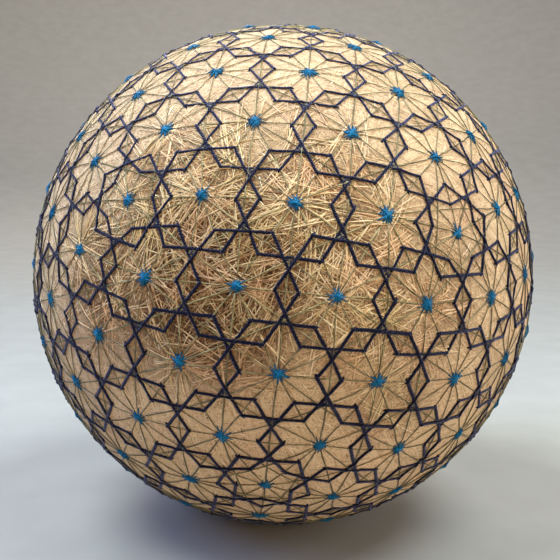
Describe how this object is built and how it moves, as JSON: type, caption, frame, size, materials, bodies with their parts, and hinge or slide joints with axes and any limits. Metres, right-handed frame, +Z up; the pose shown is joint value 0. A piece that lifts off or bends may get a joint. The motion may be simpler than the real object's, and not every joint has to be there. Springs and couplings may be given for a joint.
{
  "type": "temari ball",
  "caption": "Hand-wound thread ball stitched all over with interlocking dark hexagon and pentagon outlines, a small bright star at each centre, on a small flat spot.",
  "frame": {"origin": "middle of the small flat spot that the ball rests on", "axes": "+Z up through the ball's centre; -Y is the side that the picture shows; the upright axis is the form's axis of symmetry"},
  "size_m": [0.1, 0.1, 0.0995],
  "materials": {
    "wound_thread": "fibrous, straw-like strands with a few glossy ones",
    "outline_thread": "soft sheen of a twisted two-ply cotton",
    "star_thread": "bright silky strands",
    "guide_thread": "thin flat strand with a dull glint"
  },
  "bodies": {
    "root": {"wound_ball": "wound_thread"}
  },
  "joints": []
}
